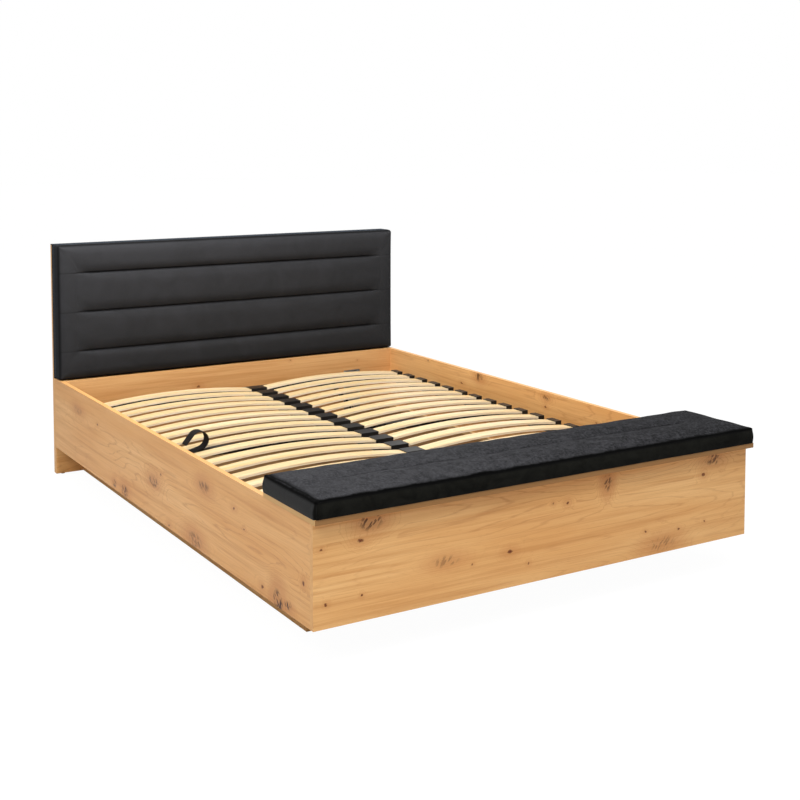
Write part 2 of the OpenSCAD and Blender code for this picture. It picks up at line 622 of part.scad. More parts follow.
module strap_plate() color(zinc) {
    block([-frame_x - 2*strap_t - strap_plate_t, strap_y - strap_w/2, rail_bottom + 4],
        [-frame_x - 2*strap_t, strap_y + strap_w/2, rail_top - 10]);
    for (s = [-1, 1]) translate([-frame_x - 2*strap_t - strap_plate_t, strap_y + s*strap_w*0.28, pivot_z - 3])
        rotate([0, -90, 0]) screw_head(3.5);
}

headboard_panel();
pad_board();
headboard_pad();
joining_plates();
joining_screws();
head_cross_panel();
head_strips();
side_panel_left();
side_panel_right();
foot_panel();
bench_partition();
partition_strips();
floor_panel_left();
floor_panel_right();
floor_strips();
plinth_front();
plinth_left();
plinth_right();
plinth_centre();
glides();
corner_brackets();
bracket_screws();
lid_bumpers();
lift_plate_head();
lift_plate_foot();
lift_plate_screws();
plate_stud_clips();
frame_rests();
rest_screws();
rest_pads();
hinge_leaves_fixed();
hinge_pins();
hinge_screws_fixed();
seat_board();
seat_cushion();
hinge_leaves_lid();
hinge_screws_lid();
rail_left();
rail_right();
rail_head();
rail_foot();
centre_beam();
cross_tubes();
tube_caps();
slats_left();
slats_right();
end_holders_left();
end_holders_right();
centre_holders();
lift_arm_head();
lift_arm_foot();
arm_stud_clips();
pull_strap();
strap_plate();
gas_cylinder_head();
gas_rod_head();
gas_cylinder_foot();
gas_rod_foot();
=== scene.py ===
# %% [markdown]
# # A storage bed with a padded headboard and a bench at its foot
# This lesson dresses a bed whose boards, tubes and hinges already exist as exact
# solids. Each step names what a piece is on the real bed, says how it could be
# made in Blender, and why one way was taken. Lengths are in metres in Blender,
# so sizes written in millimetres go through mm().

# %% Load the solids and keep their box
import math

import bmesh
import bpy
from mathutils import Matrix, Vector, noise


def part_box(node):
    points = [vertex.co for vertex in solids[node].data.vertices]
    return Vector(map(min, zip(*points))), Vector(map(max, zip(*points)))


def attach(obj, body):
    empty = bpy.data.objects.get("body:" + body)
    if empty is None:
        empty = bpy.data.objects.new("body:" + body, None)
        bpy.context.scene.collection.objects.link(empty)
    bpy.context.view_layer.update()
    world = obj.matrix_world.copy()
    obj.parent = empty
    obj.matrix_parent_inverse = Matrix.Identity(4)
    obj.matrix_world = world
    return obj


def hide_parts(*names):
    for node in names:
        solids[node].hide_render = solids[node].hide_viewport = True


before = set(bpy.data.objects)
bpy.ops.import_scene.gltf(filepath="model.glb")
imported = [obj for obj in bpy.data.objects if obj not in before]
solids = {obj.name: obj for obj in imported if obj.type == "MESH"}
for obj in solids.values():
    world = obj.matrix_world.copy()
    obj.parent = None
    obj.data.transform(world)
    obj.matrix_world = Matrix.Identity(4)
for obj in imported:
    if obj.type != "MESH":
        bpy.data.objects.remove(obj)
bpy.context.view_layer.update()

# %% [markdown]
# ## Camera
# The photograph was taken from the front left corner with a level lens, a little
# above the headboard's height, so upright edges stay upright. A shifted lens
# does that. The shift is kept small enough for other views of the bed to stay
# in the picture, and a slight downward tilt does the rest. The place, the turn
# and the focal length were fitted to the bed's straight edges.

# %% Camera at the photograph's place
def mm(length):
    return length / 1000.0


stage = bpy.context.scene
lens = bpy.data.cameras.new("studio_lens")
lens.lens = 57.847
lens.shift_y = -0.23
camera = bpy.data.objects.new("studio_camera", lens)
camera.location = (mm(-2402.7), mm(-4248.6), mm(1489.7))
camera.rotation_euler = (math.radians(90 - 3.846), 0, math.radians(-31.359))
stage.collection.objects.link(camera)
stage.camera = camera
stage.view_settings.view_transform = "Standard"
print("camera is", round(camera.location.length, 2), "m from the bed's middle")

# %% [markdown]
# ## Finishes
# A finish starts from what the real surface is. Colours are written as sRGB hex,
# as one picks them on a screen, and one function turns them to the linear values
# that Blender mixes. One more function adds a node with its settings and links,
# which is all that the recipes below need, and feed() does the same for a node
# that is there already, such as the shader of a new material.

# %% Colour and node helpers
def paint(code):
    parts = [int(code[i:i + 2], 16) / 255 for i in (1, 3, 5)]
    return (*[c / 12.92 if c <= 0.04045 else ((c + 0.055) / 1.055) ** 2.4 for c in parts], 1.0)


def feed(tree, node, settings=None, links=None):
    """A setting is one of the node's own fields or an input's value, and a link feeds an input."""
    for name, value in (settings or {}).items():
        if isinstance(name, str) and hasattr(node, name):
            setattr(node, name, value)
        else:
            node.inputs[name].default_value = value
    for name, source in (links or {}).items():
        socket = source if isinstance(source, bpy.types.NodeSocket) else source.outputs[0]
        tree.links.new(socket, node.inputs[name])
    return node


def add(tree, kind, settings=None, links=None):
    return feed(tree, tree.nodes.new("ShaderNode" + kind), settings, links)


def new_finish(name):
    """An empty finish: returns its node tree and its principled shader."""
    finish = bpy.data.materials.new(name)
    finish.use_nodes = True
    tree = finish.node_tree
    return finish, tree, tree.nodes["Principled BSDF"]


def blend_colours(tree, share, first, second, how="MIX"):
    """Mixes two colours, each a hex code or a node, by a share that is a number or a pattern."""
    settings, links = {"blend_type": how}, {}
    for name, value in (("Fac", share), ("Color1", first), ("Color2", second)):
        if isinstance(value, str):
            settings[name] = paint(value)
        elif isinstance(value, float):
            settings[name] = value
        else:
            links[name] = value
    return add(tree, "MixRGB", settings, links)


# %% [markdown]
# Grain, fibres, plies and pile are all the same thing to the eye: a random
# pattern whose cells are longer one way than another. So one helper makes them
# from the cell's size in millimetres. A noise's values crowd round one half, and
# the helper spreads those between low and high over the range that is asked for.

# %% A pattern of stretched cells
def stretched(tree, point, cell, low=0.0, high=1.0, least=0.0, most=1.0, shift=(0, 0, 0), **look):
    """A random pattern with cells of the given size along x, y and z, as values from least to most."""
    per_metre = [1 / mm(size) for size in cell]
    cells = add(tree, "Mapping", {"Scale": per_metre, "Location": shift}, {"Vector": point})
    pattern = add(tree, "TexNoise", {"Scale": 1.0, **look}, {"Vector": cells})
    return add(tree, "MapRange", {"From Min": low, "From Max": high, "To Min": least, "To Max": most},
        {"Value": pattern.outputs["Fac"]})


# %% [markdown]
# ## Knotty oak decor
# The boards are chipboard with a printed melamine skin: the oak is a picture, so
# it is flat and satin, but it has grain, arches, knots and fine cracks. Arches
# are the contour lines of one smooth, stretched noise. Each knot adds a hill to
# that noise, so that the lines bend round it, as they do in wood. A small knot
# has a dark, gritty core, and a large one cracked like a star as it dried.

# %% One knot's shapes, as a small node group
# where each shape begins and where it is full, counted from the knot's middle in its half sizes
KNOT_SHAPES = {
    "Hill": (7.0, 0.0, "SMOOTHERSTEP"),
    "Core": (1.2, 0.55, "SMOOTHSTEP"),
    "Star": (2.3, 0.9, "SMOOTHSTEP")}


def make_knot_group():
    group = bpy.data.node_groups.new("knot", "ShaderNodeTree")
    for name in ("Point", "Place", "Stretch"):
        group.interface.new_socket(name, in_out="INPUT", socket_type="NodeSocketVector")
    for name in KNOT_SHAPES:
        group.interface.new_socket(name, in_out="OUTPUT", socket_type="NodeSocketFloat")
    start = group.nodes.new("NodeGroupInput").outputs
    end = group.nodes.new("NodeGroupOutput")
    away = add(group, "VectorMath", {"operation": "SUBTRACT"}, {0: start["Point"], 1: start["Place"]})
    away = add(group, "VectorMath", {"operation": "MULTIPLY"}, {0: away, 1: start["Stretch"]})
    away = add(group, "VectorMath", {"operation": "LENGTH"}, {0: away})
    for name, (begins, full, fall) in KNOT_SHAPES.items():
        shape = add(group, "MapRange", {"interpolation_type": fall, "From Min": begins, "From Max": full},
            {"Value": away.outputs["Value"]})
        feed(group, end, {}, {name: shape})
    return group


knot_group = make_knot_group()
print("a knot gives:", list(KNOT_SHAPES))

# %% The knots of one board
GRAIN_ALONG = {"X": (0, 0, 0), "Y": (0, 0, -math.pi / 2), "Z": (0, math.pi / 2, 0)}
# from this height in millimetres on, a knot has a star in place of a core
STAR_KNOT = 14
# the noise rises by the first value at a knot, and by the second for each millimetre of its height
HILL_BASE, HILL_GROWTH = 0.05, 0.004


def knot_shapes(tree, here, along, thin, knots):
    """Lists of the knots' hills, and of their cores or stars, each as strong as its knot is dark."""
    # a slight wobble, so that knots aren't perfect ellipses
    wobble = add(tree, "TexNoise", {"Scale": 1 / mm(18.1818), "Detail": 3.0}, {"Vector": here})
    wobble = add(tree, "VectorMath", {"operation": "SUBTRACT", 1: (0.5, 0.5, 0.5)},
        {0: wobble.outputs["Color"]})
    wobble = add(tree, "VectorMath", {"operation": "SCALE", "Scale": mm(16)}, {0: wobble})
    knotty = add(tree, "VectorMath", {"operation": "ADD"}, {0: here, 1: wobble})
    shapes = {name: [] for name in KNOT_SHAPES}
    for at, up, length, height, dark in knots:
        place = [mm(at if axis == along else up) for axis in "XYZ"]
        stretch = [0.0 if axis == thin else 2 / mm(length if axis == along else height) for axis in "XYZ"]
        own = {"node_tree": knot_group, "Place": place, "Stretch": stretch}
        knot = add(tree, "Group", own, {"Point": knotty})
        middle = "Star" if height >= STAR_KNOT else "Core"
        for name, strength in (("Hill", HILL_BASE + HILL_GROWTH * height), (middle, dark)):
            shape = add(tree, "Math", {"operation": "MULTIPLY", 1: strength}, {0: knot.outputs[name]})
            shapes[name].append(shape)
    return shapes


def largest(tree, values):
    """The largest of several values."""
    top = values[0]
    for value in values[1:]:
        top = add(tree, "Math", {"operation": "MAXIMUM"}, {0: top, 1: value})
    return top


# %% [markdown]
# The arches are dark lines of late wood, some thirty from the lowest to the
# highest value of the noise. A finer noise frays them, and a broad one lets them
# show in patches and fade out elsewhere.

# %% Arches of late wood
RINGS = 30.0


def arches(tree, turned, hills):
    level = stretched(tree, turned, (1666.67, 185.185, 185.185), Detail=2.0, Roughness=0.35, Distortion=0.2)
    for hill in hills:
        level = add(tree, "Math", {"operation": "ADD"}, {0: level, 1: hill})
    rings = add(tree, "Math", {"operation": "MULTIPLY", 1: RINGS}, {0: level})
    fray = stretched(tree, turned, (200.0, 8.33333, 8.33333), Detail=3.0)
    rings = add(tree, "Math", {"operation": "MULTIPLY_ADD", 1: 0.7}, {0: fray, 2: rings})
    rings = add(tree, "Math", {"operation": "PINGPONG", 1: 0.5}, {0: rings})
    late = add(tree, "MapRange", {"interpolation_type": "SMOOTHSTEP", "From Min": 0.12, "From Max": 0.0},
        {"Value": rings})
    patchy = stretched(tree, turned, (1851.85, 205.761, 205.761), 0.38, 0.66, 0.06, 0.44, Detail=1.0)
    return add(tree, "Math", {"operation": "MULTIPLY"}, {0: late, 1: patchy})


# %% [markdown]
# Under and over the arches lie the wood's tones: broad zones of the trunk, fibres
# some 300 mm long, darker bands half a metre long, and pores. Real pores are too
# fine to show from here, so they are drawn as dashes 1 mm high.

# %% The wood's tones
def wood_tones(tree, turned, late):
    """Returns the colour, and the fibres for the surface's relief."""
    zones = stretched(tree, turned, (909.091, 117.647, 117.647), 0.33, 0.67, shift=(3.1, 1.7, 0.4),
        Detail=4.0, Roughness=0.55)
    colour = blend_colours(tree, zones, "#d9a162", "#e7b97d")
    fibres = stretched(tree, turned, (294.118, 3.22581, 3.22581), 0.3, 0.75, most=0.5,
        Detail=4.0, Roughness=0.6)
    colour = blend_colours(tree, fibres, colour, "#c98d52")
    bands = stretched(tree, turned, (500.0, 13.3333, 13.3333), 0.48, 0.7, most=0.55, shift=(0.7, 5.3, 2.9),
        Detail=3.0, Roughness=0.5, Distortion=0.3)
    colour = blend_colours(tree, bands, colour, "#bf8449")
    colour = blend_colours(tree, late, colour, "#a96d3a")
    pores = stretched(tree, turned, (23.8095, 1.11111, 1.11111), 0.66, 0.8, most=0.3, Detail=1.0)
    return blend_colours(tree, pores, colour, "#9a6436"), fibres


# %% The knots' colours
def darken_knots(tree, here, turned, shapes, colour):
    """A reddish halo on each hill, grit in the small cores and slanted cracks in the large ones."""
    if shapes["Hill"]:
        halo = add(tree, "MapRange", {"From Min": 0.02, "From Max": 0.15, "To Max": 0.5},
            {"Value": largest(tree, shapes["Hill"])})
        colour = blend_colours(tree, halo, colour, "#b4713c")
    if shapes["Core"]:
        grit = stretched(tree, here, (6.66667, 6.66667, 6.66667), 0.36, 0.52, 0.6, Detail=5.0, Roughness=0.75)
        core = add(tree, "Math", {"operation": "MULTIPLY"}, {0: largest(tree, shapes["Core"]), 1: grit})
        colour = blend_colours(tree, core, colour, "#5a1d04")
    if shapes["Star"]:
        # dark strokes 4 mm wide and three times as long, all on one slant
        slant = add(tree, "Mapping",
            {"vector_type": "TEXTURE", "Rotation": (0.0, -0.9, 0.0), "Scale": (3.2, 1.0, 1.0)},
            {"Vector": turned})
        strokes = add(tree, "TexNoise", {"Scale": 1 / mm(7.5), "Detail": 1.5, "Distortion": 0.4},
            {"Vector": slant})
        strokes = add(tree, "MapRange",
            {"interpolation_type": "SMOOTHSTEP", "From Min": 0.49, "From Max": 0.56, "To Min": 0.12},
            {"Value": strokes.outputs["Fac"]})
        star = add(tree, "Math", {"operation": "MULTIPLY"}, {0: largest(tree, shapes["Star"]), 1: strokes})
        colour = blend_colours(tree, star, colour, "#3a180a")
    return colour


# %% [markdown]
# One recipe makes the decor for every board, because all are cut from one
# pattern. Only the direction of the grain, the cut-out of the pattern and the
# knots differ. The narrow edges carry a plain edge band in a tone of its own.
# On the bench lid the band's front is painted darker than its ends, as painted
# shade under the cushion, and the head's cross panel is darkened by a painted
# shade tint.

# %% The oak decor
def oak_decor(name, along, thin, cut=0.0, knots=(), edge="#d3a064", ends=None, painted_shade_tint=None):
    """Oak decor with its grain along one axis, thin across another, and its own cut-out and knots."""
    finish, tree, shader = new_finish(name)
    place = add(tree, "TexCoord")
    here = place.outputs["Object"]
    turned = add(tree, "Mapping", {"Rotation": GRAIN_ALONG[along], "Location": (cut, cut * 0.37, cut * 0.71)},
        {"Vector": here})
    shapes = knot_shapes(tree, here, along, thin, knots)
    colour, fibres = wood_tones(tree, turned, arches(tree, turned, shapes["Hill"]))
    colour = darken_knots(tree, here, turned, shapes, colour)
    # painted shade: a pale greyish tint multiplied over the decor, which darkens the board a little and takes
    # some red out of it
    if painted_shade_tint:
        colour = blend_colours(tree, 1.0, colour, painted_shade_tint, "MULTIPLY")
    # the edge band lies on every face that isn't across the thin axis
    side = add(tree, "VectorMath", {"operation": "ABSOLUTE"}, {0: place.outputs["Normal"]})
    side = add(tree, "SeparateXYZ", {}, {0: side})
    band = add(tree, "MapRange", {"From Min": 0.8, "From Max": 0.3, "To Max": 0.9 if ends else 0.5},
        {"Value": side.outputs["XYZ".index(thin)]})
    # with ends given, the band is painted in two tones by face direction: the edge colour on faces along y is
    # painted shade, darker than the ends colour on faces along x
    if ends:
        across = add(tree, "MapRange", {"From Min": 0.4, "From Max": 0.6}, {"Value": side.outputs["X"]})
        edge = blend_colours(tree, across, edge, ends)
    colour = blend_colours(tree, band, colour, edge)
    satin = add(tree, "MapRange", {"From Min": 0.3, "From Max": 0.7, "To Min": 0.42, "To Max": 0.56},
        {"Value": fibres})
    relief = add(tree, "Bump", {"Strength": 0.12, "Distance": mm(0.3)}, {"Height": fibres})
    feed(tree, shader, {"Specular IOR Level": 0.25},
        {"Base Color": colour, "Roughness": satin, "Normal": relief})
    return finish


# %% [markdown]
# Each board gets its own knots, in the places where the photographed boards
# have them: how far along the board and how high, then the knot's length and
# height, all in millimetres, and how dark it is.

# %% Knots on the boards that show
foot_knots = [
    (-640, 399, 40, 26, 0.85), (-673, 350, 22, 13, 0.95), (-798, 344, 8, 6, 0.8), (-782, 189, 9, 8, 0.95),
    (-668, 195, 8, 7, 0.95), (-388, 241, 50, 18, 0.4), (-160, 229, 22, 13, 0.95), (-296, 216, 7, 7, 0.8),
    (-90, 182, 9, 7, 0.8), (59, 345, 11, 10, 0.9), (217, 386, 18, 32, 0.75), (2, 350, 7, 6, 0.8),
    (378, 200, 9, 7, 0.9), (520, 188, 9, 8, 0.9), (634, 195, 7, 6, 0.9), (448, 152, 60, 24, 0.4),
    (628, 352, 15, 12, 0.95), (672, 398, 40, 20, 0.75)]
left_knots = [
    (-982, 134, 36, 40, 1.0), (-1050, 145, 26, 18, 1.0), (-878, 149, 18, 13, 0.9),
    (-1145, 239, 12, 13, 0.9), (-678, 332, 18, 10, 0.9), (-441, 343, 50, 22, 0.6),
    (-751, 286, 12, 7, 0.9), (-361, 144, 60, 30, 0.65), (-132, 132, 18, 12, 0.8), (-57, 291, 12, 8, 0.85),
    (15, 253, 50, 24, 0.7), (319, 143, 40, 24, 0.95), (434, 144, 22, 18, 0.9), (631, 332, 14, 8, 0.85),
    (877, 344, 60, 20, 0.35)]
right_knots = [
    (347, 404, 30, 22, 0.75), (482, 355, 18, 9, 0.9), (-132, 398, 26, 14, 0.85), (-129, 359, 14, 9, 0.85),
    (765, 411, 10, 6, 0.7), (-448, 358, 12, 6, 0.7), (-900, 180, 26, 18, 0.85), (-620, 252, 10, 8, 0.9),
    (-215, 158, 40, 20, 0.6), (120, 233, 12, 9, 0.9), (560, 188, 26, 18, 0.8), (905, 262, 14, 10, 0.85)]
cross_knots = [(-202, 335, 18, 12, 0.8), (258, 412, 8, 6, 0.8), (620, 380, 9, 6, 0.7)]
print("knots:", len(foot_knots) + len(left_knots) + len(right_knots) + len(cross_knots))

# %% One decor a board
headboard_knots = [(-420, 190, 40, 22, 0.75), (380, 310, 24, 18, 0.8)]
decor = {
    "foot_panel": oak_decor("oak_foot", "X", "Y", 0.4, foot_knots),
    "side_panel_left": oak_decor("oak_left", "Y", "X", 7.3, left_knots),
    "side_panel_right": oak_decor("oak_right", "Y", "X", 12.9, right_knots),
    # the cross panel inside the frame is darkened by a painted shade tint
    "head_cross_panel": oak_decor("oak_cross", "X", "Y", 21.7, cross_knots, painted_shade_tint="#ebe7e8"),
    "headboard_panel": oak_decor("oak_headboard", "X", "Y", 31.3, headboard_knots),
    "bench_partition": oak_decor("oak_partition", "X", "Y", 3.9),
    # the lid board's front edge band is painted darker than its ends, as painted shade under the cushion
    "seat_board": oak_decor("oak_seat_board", "X", "Z", 44.1, (), "#7f5930", "#c39a60"),
    "plinth_front": oak_decor("oak_plinth_front", "X", "Y", 51.9),
    "plinth_left": oak_decor("oak_plinth_side", "Y", "X", 61.2),
}
for board in ("plinth_right", "plinth_centre"):
    decor[board] = decor["plinth_left"]
print("boards with oak decor:", len(decor))

# %% [markdown]
# ## Raw board
# The storage floor is brown hardboard: matt, with short pressed fibres. Cells of
# the fibres' size in a broad cloud do for that. The strips are planed pine, whose
# grain is straight and soft, with a line every 3 mm.

# %% Hardboard and pine strips
def pressed_board(name, light, dark, chip):
    finish, tree, shader = new_finish(name)
    here = add(tree, "TexCoord").outputs["Object"]
    chips = add(tree, "TexVoronoi", {"Scale": 1 / mm(chip)}, {"Vector": here}).outputs["Distance"]
    cloud = add(tree, "TexNoise", {"Scale": 1 / mm(33.3333), "Detail": 5.0}, {"Vector": here})
    share = add(tree, "Math", {"operation": "MULTIPLY"}, {0: chips, 1: cloud.outputs["Fac"]})
    relief = add(tree, "Bump", {"Strength": 0.2, "Distance": mm(0.3)}, {"Height": chips})
    colour = blend_colours(tree, share, light, dark)
    feed(tree, shader, {"Roughness": 0.7}, {"Base Color": colour, "Normal": relief})
    return finish


floor_board = pressed_board("hardboard", "#7c5828", "#4a3416", 1.8)


def pine_strip(name, along):
    finish, tree, shader = new_finish(name)
    here = add(tree, "TexCoord").outputs["Object"]
    turned = add(tree, "Mapping", {"Rotation": GRAIN_ALONG[along]}, {"Vector": here})
    grain = stretched(tree, turned, (250.0, 3.0303, 3.0303), Detail=3.0)
    colour = blend_colours(tree, grain, "#e3c48f", "#bd8e52")
    feed(tree, shader, {"Roughness": 0.6}, {"Base Color": colour})
    return finish


strip_upright = pine_strip("pine_upright", "Z")
strip_long = pine_strip("pine_long", "Y")
print("raw boards:", floor_board.name, strip_upright.name, strip_long.name)

# %% [markdown]
# ## Slats
# The slats are strips of birch plywood, pressed to a bow and lacquered. Their
# top shows a long, quiet grain, their edges show the plies, and no two slats
# have quite the same tone. The tone comes from the slat's own number along the
# bed, and the plies from the height.

# %% Birch plywood
# a slat every 109 mm, and a shift that puts each one well inside its own whole number
SLAT_PITCH, SLAT_SHIFT = 109, 40.55


def birch_ply(name):
    finish, tree, shader = new_finish(name)
    place = add(tree, "TexCoord")
    here = place.outputs["Object"]
    spot = add(tree, "SeparateXYZ", {}, {0: here})
    row = add(tree, "Math", {"operation": "MULTIPLY_ADD", 1: 1 / mm(SLAT_PITCH), 2: SLAT_SHIFT},
        {0: spot.outputs["Y"]})
    row = add(tree, "Math", {"operation": "FLOOR"}, {0: row})
    column = add(tree, "Math", {"operation": "SIGN"}, {0: spot.outputs["X"]})
    # 31 is more than the slats in a column, so no two slats share a number
    own = add(tree, "Math", {"operation": "MULTIPLY_ADD", 1: 31.0}, {0: column, 2: row})
    tone = add(tree, "TexWhiteNoise", {"noise_dimensions": "1D"}, {"W": own})
    slide = add(tree, "CombineXYZ", {}, {"X": own, "Y": own})
    moved = add(tree, "VectorMath", {"operation": "ADD"}, {0: here, 1: slide})
    figure = stretched(tree, moved, (454.545, 10.5263, 50.0), 0.35, 0.75,
        Detail=5.0, Roughness=0.6, Distortion=0.6)
    pale = blend_colours(tree, tone.outputs["Value"], "#dccaa6", "#d2b88b")
    face = blend_colours(tree, figure, pale, "#cba768")
    # now and then a slat has a darker heart streak
    streak = stretched(tree, moved, (769.231, 29.4118, 100.0), 0.64, 0.78, most=0.5, Detail=2.0)
    face = blend_colours(tree, streak, face, "#cf9f5c")
    side = add(tree, "VectorMath", {"operation": "ABSOLUTE"}, {0: place.outputs["Normal"]})
    side = add(tree, "SeparateXYZ", {}, {0: side})
    plies = stretched(tree, here, (166.667, 1000.0, 1.5), 0.35, 0.65, Detail=1.0)
    edge = blend_colours(tree, plies, "#fbecd0", "#efd4a8")
    share = add(tree, "MapRange", {"From Min": 0.55, "From Max": 0.85}, {"Value": side.outputs["Y"]})
    colour = blend_colours(tree, share, face, edge)
    relief = add(tree, "Bump", {"Strength": 0.1, "Distance": mm(0.2)}, {"Height": figure})
    feed(tree, shader, {"Roughness": 0.38}, {"Base Color": colour, "Normal": relief})
    return finish


birch = birch_ply("birch_plywood")
print("slats are", birch.name)

# %% [markdown]
# ## Steel, plastic, rubber and felt
# The frame is powder coated, which leaves a fine orange peel. The holders are
# moulded polypropylene. The hinges, brackets and screws are zinc plated, and
# the gas springs' rods are hard chromed. Metals keep their default IOR.

# %% Coated, plated and moulded surfaces
def fine_surface(name, colour, second, roughness, grain, bump, metallic=0.0, gloss=0.5):
    """One tone with a fine second one, and a relief at grain millimetres."""
    finish, tree, shader = new_finish(name)
    here = add(tree, "TexCoord").outputs["Object"]
    fine = add(tree, "TexNoise", {"Scale": 1 / mm(grain), "Detail": 3.0}, {"Vector": here}).outputs["Fac"]
    broad = add(tree, "TexNoise", {"Scale": 1 / mm(71.4286), "Detail": 4.0}, {"Vector": here}).outputs["Fac"]
    share = add(tree, "MapRange", {"From Min": 0.35, "From Max": 0.7}, {"Value": broad})
    tone = blend_colours(tree, share, colour, second)
    rough = add(tree, "MapRange",
        {"From Min": 0.3, "From Max": 0.7, "To Min": roughness - 0.07, "To Max": roughness + 0.07},
        {"Value": fine})
    relief = add(tree, "Bump", {"Strength": bump, "Distance": mm(0.2)}, {"Height": fine})
    feed(tree, shader, {"Metallic": metallic, "Specular IOR Level": gloss},
        {"Base Color": tone, "Roughness": rough, "Normal": relief})
    return finish


powder_coat = fine_surface("powder_coated_steel", "#1a1817", "#201e1d", 0.45, 1.5, 0.25, gloss=0.3)
moulded_black = fine_surface("moulded_polypropylene", "#1d1b19", "#161412", 0.42, 1.0, 0.15, gloss=0.3)
zinc_plate = fine_surface("zinc_plated_steel", "#b9bdc0", "#9fa3a4", 0.36, 6.0, 0.1, 1.0)
hard_chrome = fine_surface("hard_chromed_rod", "#d5d6d8", "#c6c8cb", 0.14, 2.0, 0.02, 1.0)
black_rubber = fine_surface("moulded_rubber", "#191919", "#222222", 0.75, 1.0, 0.3)
pressed_felt = fine_surface("pressed_felt", "#2b2a2a", "#3a3938", 0.95, 0.8, 0.8)
print("finishes so far:", len(bpy.data.materials))

# %% [markdown]
# ## Velvet
# The upholstery is a short-pile velvet. The pile stands up and catches light at
# its tips, so flat-on it is nearly black and along the edge it glows. That is
# what sheen is for. Hands leave the pile lying in patches, which a cloudy noise
# gives, and the pile itself is drawn at 1.4 mm, coarser than it is, to show.
# The pad's narrow strips are painted darker than its front, as painted shade, and
# carry a tighter, bluish sheen. Each velvet is painted lighter along one way, a
# painted gradient of light and shade: the pad lighter towards its top and left, the
# bench's top lighter towards its left, and the cushion's sides darker towards the
# bottom. The bench's tufts are drawn 4 by 11 mm. The cushion's sides are a flat,
# smooth cloth, painted lighter on both ends as painted light. Along the seams the
# colour is painted darker, as painted shade in their grooves.

# %% Short-pile velvet
VELVET = {
    # the ends colour is painted on faces along x, as painted light, and the seams get a near-black painted
    # in, as painted shade
    "roughness": 0.9, "gloss": 0.1, "nap": 0.4, "tint": "#8f97a8", "stitches": "#0c0c0d", "ends": None,
    # how much lighter the colour is painted a metre further along each axis, a painted gradient of light and
    # shade, and how strong its patches are
    "brushed": (0.0, 0.0, 0.0), "clouds": 1.0,
    # a tuft's size in millimetres, the noise that its tip shows between, and how much it shows
    "pile": (1.4, 1.4, 1.4), "flecks": (0.45, 0.75, 0.55)}


def velvet(name, **own):
    """Dark and light in clouds, patch millimetres wide, under flecks of the pile's tip, with painted light
    and shade: a painted gradient, lighter ends and darker seams.
    """
    look = {**VELVET, **own}
    finish, tree, shader = new_finish(name)
    place = add(tree, "TexCoord")
    here = place.outputs["Object"]
    patch, half = 3 * [look["patch"]], look["clouds"] / 2
    pile_lay_and_painted_light = stretched(tree, here, patch, 0.35, 0.72, 0.5 - half, 0.5 + half,
        Detail=5.0, Roughness=0.62, Distortion=1.2)
    # painted light and shade: the colour is made lighter along the given slope, on top of the pile's patches
    painted_slope = add(tree, "VectorMath", {"operation": "DOT_PRODUCT", 1: look["brushed"]}, {0: here})
    pile_lay_and_painted_light = add(tree, "Math", {"operation": "ADD", "use_clamp": True}, {0: painted_slope.outputs["Value"], 1: pile_lay_and_painted_light})
    pile = stretched(tree, here, look["pile"], Detail=2.0, Roughness=0.7)
    low, high, share = look["flecks"]
    flecks = add(tree, "MapRange", {"From Min": low, "From Max": high, "To Max": share}, {"Value": pile})
    colour = blend_colours(tree, pile_lay_and_painted_light, look["dark"], look["light"])
    colour = blend_colours(tree, flecks, colour, look["tip"])
    # faces along x take the ends colour, painted lighter, as painted light
    if look["ends"]:
        side = add(tree, "SeparateXYZ", {}, {0: place.outputs["Normal"]})
        side = add(tree, "Math", {"operation": "ABSOLUTE"}, {0: side.outputs["X"]})
        side = add(tree, "MapRange", {"From Min": 0.6, "From Max": 0.85}, {"Value": side})
        colour = blend_colours(tree, side, colour, look["ends"])
    # painted shade in the seams: a dark line, as strong as the piece's own seam value says
    sewn = add(tree, "Attribute", {"attribute_name": "seam"})
    colour = blend_colours(tree, sewn.outputs["Fac"], colour, look["stitches"])
    relief = add(tree, "Bump", {"Strength": 0.5, "Distance": mm(0.5)}, {"Height": pile})
    relief = add(tree, "Bump", {"Strength": 0.25, "Distance": mm(1.5)}, {"Height": pile_lay_and_painted_light, "Normal": relief})
    feed(tree, shader, {
        "Roughness": look["roughness"], "Specular IOR Level": look["gloss"], "Sheen Weight": look["sheen"],
        "Sheen Roughness": look["nap"], "Sheen Tint": paint(look["tint"])},
        {"Base Color": colour, "Normal": relief})
    return finish


# the strips are painted darker than the pad's front, as painted shade
STRIP_LOOK = {"dark": "#161617", "light": "#1c1c1e", "tip": "#222224", "patch": 90, "sheen": 0.8,
    "tint": "#7892ad", "nap": 0.16}
# the pad is painted lighter towards its top and a little towards its left, as painted light
pad_velvet = velvet("pad_velvet", dark="#232324", light="#2e2e30", tip="#333335", patch=130, sheen=0.08,
    brushed=(-0.2, 1.6, 0.0), clouds=0.5)
pad_strip = velvet("pad_strip_velvet", **STRIP_LOOK)
# the bench top is painted lighter towards its left, as painted light
seat_velvet = velvet("seat_velvet", dark="#161617", light="#343436", tip="#4a4a4e", patch=34, sheen=0.02,
    brushed=(-0.55, 0.0, 0.0), tint="#9a9a9e", gloss=0.03, pile=(4.0, 11.0, 4.0), flecks=(0.46, 0.72, 0.55),
    stitches="#020202")
# the cloth's ends are painted lighter, as painted light, and its sides darker towards the bottom, as painted
# shade
side_cloth = velvet("side_cloth", dark="#060605", light="#181815", tip="#161613", patch=60, sheen=0.0,
    roughness=0.5, brushed=(0.0, 0.0, 10.0), gloss=0.03, ends="#2c2c2c", stitches="#020202")
print("finishes so far:", len(bpy.data.materials))

# %% [markdown]
# The pad's board is covered from the front: the velvet is folded over its top and
# round its ends, but stops half way there, so a narrow line of oak stays bare.

